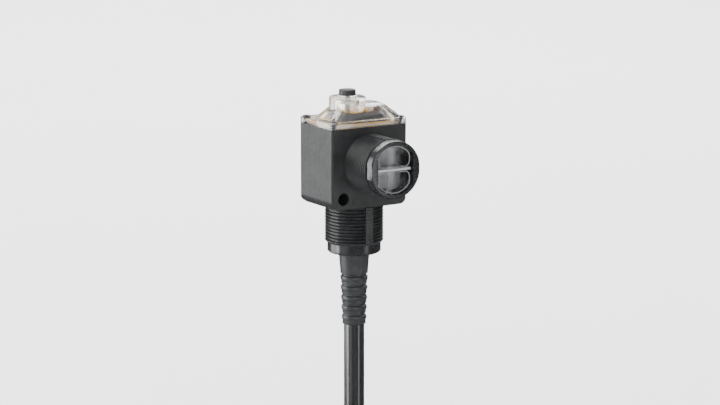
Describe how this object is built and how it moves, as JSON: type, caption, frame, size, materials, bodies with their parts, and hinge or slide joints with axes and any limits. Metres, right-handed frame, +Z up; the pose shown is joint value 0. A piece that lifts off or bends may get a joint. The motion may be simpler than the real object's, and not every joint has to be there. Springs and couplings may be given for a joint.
{
  "type": "photoelectric sensor",
  "caption": "Right-angle photoelectric sensor with a threaded lens nose, a threaded base, a clear cover with a sensitivity adjuster, and a coiled cable.",
  "frame": {"origin": "base thread's axis at the housing's underside, where the mounting nut or bracket seats", "axes": "+Z up along the base thread towards the clear cover, -Y the way the lenses look, +X to the right of the housing as seen from in front"},
  "size_m": [0.1045, 0.1087, 0.1406],
  "materials": {
    "housing_plastic": "fine-grained matte black plastic",
    "clear_plastic": "polished clear plastic",
    "lens_plastic": "polished clear plastic, lightly smoked",
    "gloss_black": "glossy black plastic",
    "black_plastic": "matte black plastic",
    "knob_plastic": "satin charcoal plastic",
    "natural_plastic": "natural off-white nylon",
    "clear_silicone": "translucent silicone",
    "relief_rubber": "satin grey-black rubber",
    "seal_rubber": "matte black rubber",
    "amber_seal": "amber silicone",
    "circuit_board": "green solder mask",
    "amber_board": "tan board and amber mouldings",
    "component_plastic": "matte moulded package",
    "shield_grey": "satin dark grey plastic",
    "plate_grey": "matte grey plastic",
    "divider_plastic": "light grey plastic",
    "yellow_led": "tinted epoxy, unlit",
    "brown_led": "tinted epoxy, unlit",
    "clear_led": "water-clear epoxy",
    "brass_metal": "plain",
    "cable_sheath": "semi-gloss dark grey cable sheath",
    "brown_insulation": "satin",
    "white_insulation": "satin",
    "blue_insulation": "satin",
    "black_insulation": "satin",
    "nylon_tie": "black nylon"
  },
  "bodies": {
    "sensor": {"housing": "housing_plastic", "nose_seal": "seal_rubber", "lens_bezel": "gloss_black", "lens_carrier": "black_plastic", "aperture_plate": "plate_grey", "emitter_lens": "lens_plastic", "receiver_lens": "lens_plastic", "lens_divider": "divider_plastic", "emitter_led": "clear_led", "photodiode": "component_plastic", "optics_board": "circuit_board", "main_board": "circuit_board", "board_header": "black_plastic", "sensor_ic": "component_plastic", "output_transistors": "component_plastic", "smoothing_capacitor": "component_plastic", "indicator_board": "amber_board", "frame_gasket": "clear_silicone", "lamp_frame": "amber_board", "light_shield": "shield_grey", "signal_led": "yellow_led", "power_led": "brown_led", "potentiometer": "amber_board", "top_cover": "clear_plastic", "cover_seal": "amber_seal", "cover_screws": "black_plastic", "end_bushing": "gloss_black", "strain_relief": "relief_rubber", "inner_cable": "cable_sheath", "cable_clamp": "brass_metal", "brown_wire": "brown_insulation", "white_wire": "white_insulation", "blue_wire": "blue_insulation", "black_wire": "black_insulation", "cable_run": "cable_sheath", "cable_coil": "cable_sheath", "cable_tail": "cable_sheath", "coil_ties": "nylon_tie", "brown_lead": "brown_insulation", "white_lead": "white_insulation", "blue_lead": "blue_insulation", "black_lead": "black_insulation"},
    "adjuster": {"adjuster_knob": "knob_plastic", "adjuster_shaft": "natural_plastic", "shaft_seal": "clear_silicone", "pot_wiper": "brass_metal"}
  },
  "joints": [
    {"name": "sensitivity_turn", "type": "hinge", "parent": "sensor", "child": "adjuster", "pos_m": [-0.0035, -0.0017, 0.03], "axis": [0, 0, 1], "range_deg": [-135, 135]}
  ]
}
